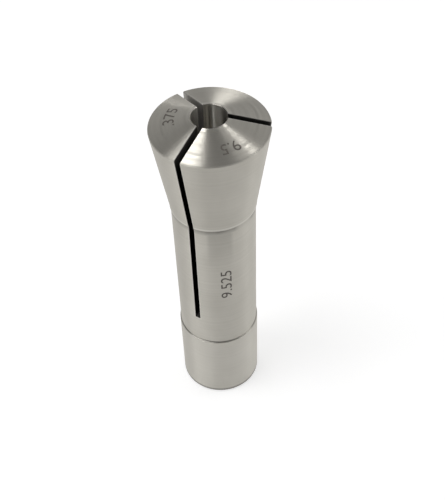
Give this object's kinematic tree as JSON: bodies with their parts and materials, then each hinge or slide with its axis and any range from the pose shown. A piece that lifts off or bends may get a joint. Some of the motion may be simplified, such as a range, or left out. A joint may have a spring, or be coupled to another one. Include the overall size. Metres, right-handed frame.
{
  "type": "milling machine collet",
  "caption": "Slotted steel collet with a tapered head, a low nose cone, a gripping bore, a relieved neck and a keyed rear bearing threaded for a drawbar.",
  "frame": {"origin": "centre of the rear end, on the axis, where the collet stands", "axes": "+Z along the axis up to the nose, +X through the middle of the keyway, slots at 60, 180 and 300 degrees from +X"},
  "size_m": [0.0316, 0.0316, 0.1046],
  "materials": {
    "ground_steel": "fine turned and ground, hardened"
  },
  "bodies": {
    "root": {"collet": "ground_steel"}
  },
  "joints": []
}
